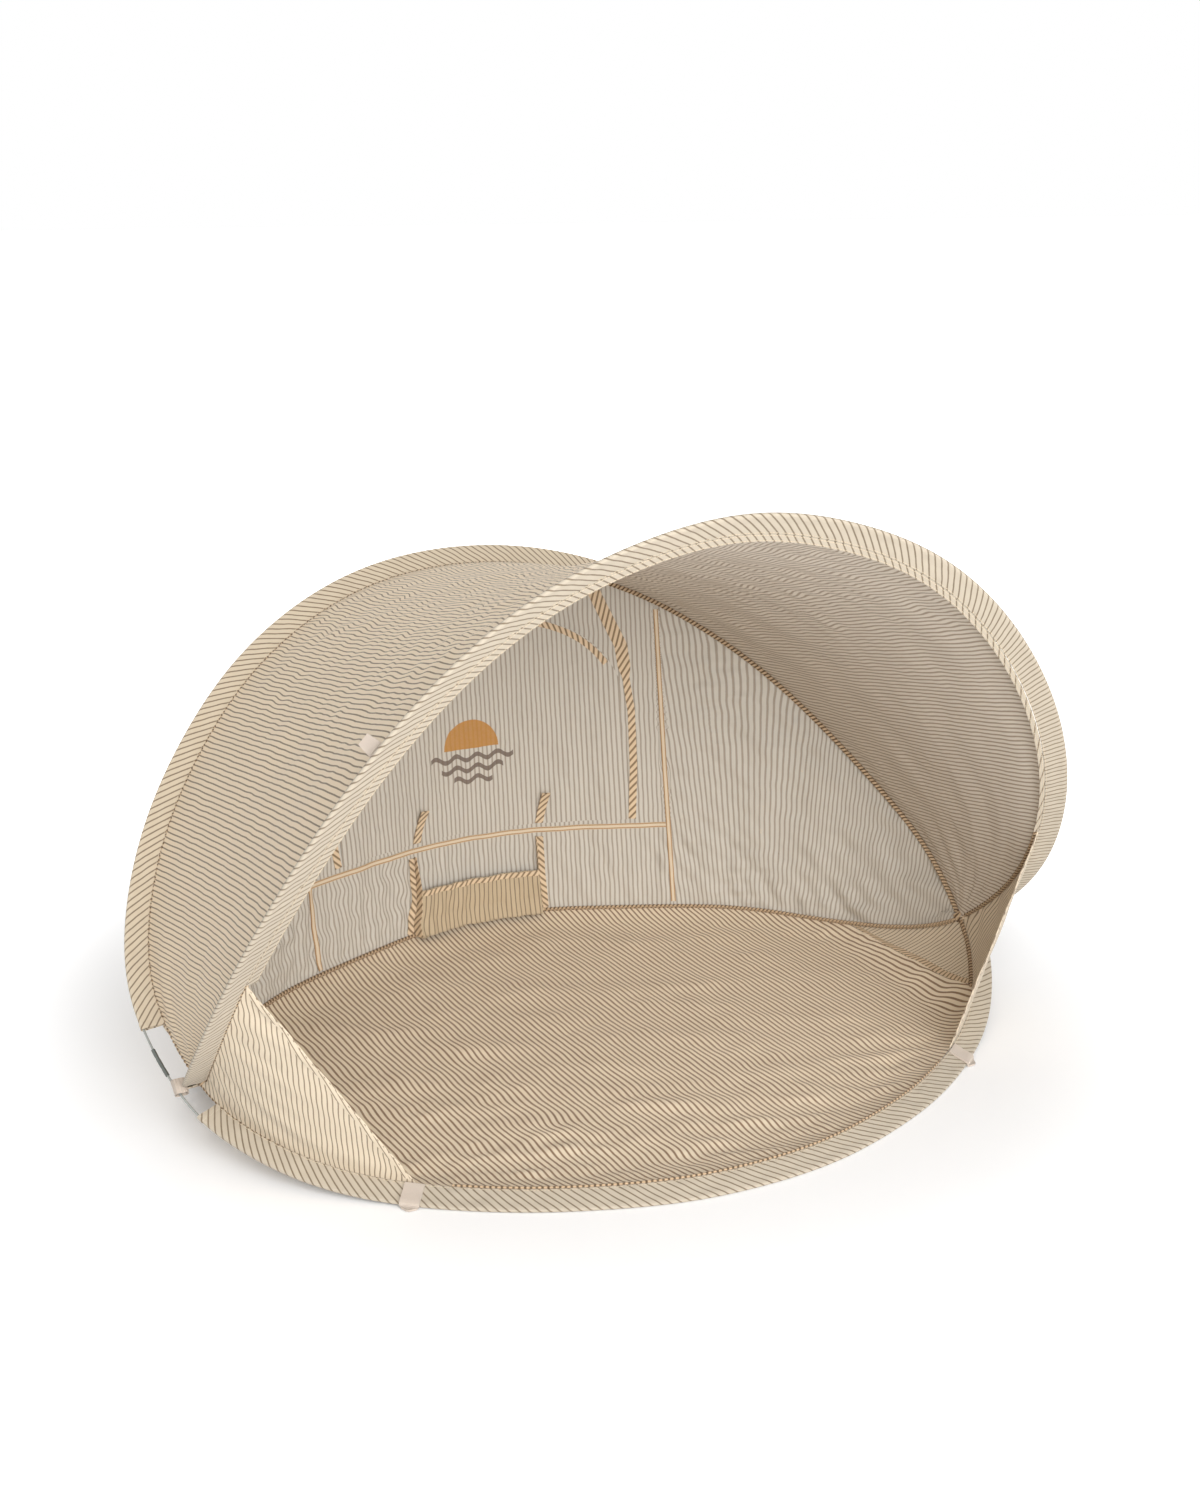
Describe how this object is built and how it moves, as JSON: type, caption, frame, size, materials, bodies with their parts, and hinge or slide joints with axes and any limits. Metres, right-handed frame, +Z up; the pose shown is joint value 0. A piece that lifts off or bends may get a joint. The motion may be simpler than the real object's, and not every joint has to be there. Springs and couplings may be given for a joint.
{
  "type": "pop-up beach tent",
  "caption": "Pop-up beach shelter on spring-steel hoops, open in front, with a floor, a rear window with a flap, an inside pocket and webbing loops for pegs and guys.",
  "frame": {"origin": "on the ground under the flat middle of the floor, on the tent's middle plane", "axes": "+Z up, -Y out of the open front, +X towards the right corner as seen from the front"},
  "size_m": [1.2918, 0.9754, 0.8097],
  "materials": {
    "striped_cloth": "thin polyester, cream with narrow brown stripes",
    "roof_cloth": "thin polyester, cream with narrow brown stripes, taupe underneath",
    "wall_cloth": "thin polyester with narrow upright stripes",
    "floor_cloth": "coated polyester with narrow diagonal stripes",
    "pocket_cloth": "thin polyester with narrow stripes",
    "bias_binding": "ribbed dark brown bias binding",
    "seam_tape": "folded and stitched strips of the same cloth",
    "webbing": "woven beige webbing",
    "insect_net": "fine net",
    "spring_wire": "oiled spring steel, dark grey-green",
    "ferrule_steel": "crimped steel sleeve"
  },
  "bodies": {
    "tent_base": {"back_wall": "wall_cloth", "floor_back_binding": "bias_binding", "floor_back_sleeve": "striped_cloth", "floor_back_wire": "spring_wire", "floor_front_sleeve": "striped_cloth", "floor_panel": "floor_cloth", "floor_welt": "seam_tape", "hoop_ferrule": "ferrule_steel", "left_corner_binding": "bias_binding", "left_corner_tie": "webbing", "left_felled_seam": "seam_tape", "left_floor_corner": "floor_cloth", "left_front_gusset": "striped_cloth", "left_wall_strip": "seam_tape", "pocket_front": "pocket_cloth", "pocket_left_side": "pocket_cloth", "pocket_right_side": "pocket_cloth", "pocket_top_tape": "seam_tape", "rear_arch_binding": "bias_binding", "rear_arch_sleeve": "striped_cloth", "rear_hoop_wire": "spring_wire", "right_corner_binding": "bias_binding", "right_corner_tie": "webbing", "right_felled_seam": "seam_tape", "right_floor_corner": "floor_cloth", "right_front_gusset": "striped_cloth", "right_wall_strip": "seam_tape", "roof_panel": "roof_cloth", "wall_cross_seam": "seam_tape", "window_screen": "insect_net"},
    "front_arch": {"front_arch_wire": "spring_wire", "front_arch_sleeve": "striped_cloth", "front_arch_facing": "striped_cloth"},
    "flap": {"window_flap": "striped_cloth", "flap_arch_binding": "seam_tape", "left_flap_tab": "seam_tape", "right_flap_tab": "seam_tape"},
    "left_front_peg_loop_body": {"left_front_peg_loop": "webbing"},
    "right_front_peg_loop_body": {"right_front_peg_loop": "webbing"},
    "left_rear_peg_loop_body": {"left_rear_peg_loop": "webbing"},
    "right_rear_peg_loop_body": {"right_rear_peg_loop": "webbing"},
    "left_guy_loop_body": {"left_guy_loop": "webbing"},
    "right_guy_loop_body": {"right_guy_loop": "webbing"}
  },
  "joints": [
    {"name": "front_arch_fold", "type": "hinge", "parent": "tent_base", "child": "front_arch", "pos_m": [0, -0.1, 0.087], "axis": [-1, 0, 0], "range_deg": [0, 60], "stiffness_Nm_per_rad": 1.5, "springref_deg": -20.05, "deforming": ["roof_panel", "left_front_gusset", "right_front_gusset"]},
    {"name": "flap_drop", "type": "hinge", "parent": "tent_base", "child": "flap", "pos_m": [0, 0.3479, 0.162], "axis": [1, 0, 0], "range_deg": [0, 115]},
    {"name": "right_front_peg_loop_lift", "type": "hinge", "parent": "tent_base", "child": "right_front_peg_loop_body", "pos_m": [0.4001, -0.3407, 0.0192], "axis": [-0.81, -0.5852, -0.0381], "range_deg": [0, 80]},
    {"name": "left_front_peg_loop_lift", "type": "hinge", "parent": "tent_base", "child": "left_front_peg_loop_body", "pos_m": [-0.4001, -0.3407, 0.0192], "axis": [-0.81, 0.5852, 0.0381], "range_deg": [0, 80]},
    {"name": "right_rear_peg_loop_lift", "type": "hinge", "parent": "tent_base", "child": "right_rear_peg_loop_body", "pos_m": [0.3266, 0.2936, 0.0152], "axis": [0.8967, -0.4427, 0.0016], "range_deg": [0, 80]},
    {"name": "left_rear_peg_loop_lift", "type": "hinge", "parent": "tent_base", "child": "left_rear_peg_loop_body", "pos_m": [-0.3266, 0.2936, 0.0152], "axis": [0.8967, 0.4427, -0.0016], "range_deg": [0, 80]},
    {"name": "right_guy_loop_lift", "type": "hinge", "parent": "front_arch", "child": "right_guy_loop_body", "pos_m": [0.4266, -0.3773, 0.5745], "axis": [-0.6317, -0.1366, 0.763], "range_deg": [0, 80]},
    {"name": "left_guy_loop_lift", "type": "hinge", "parent": "front_arch", "child": "left_guy_loop_body", "pos_m": [-0.4266, -0.3773, 0.5745], "axis": [-0.6317, 0.1366, -0.763], "range_deg": [0, 80]}
  ]
}
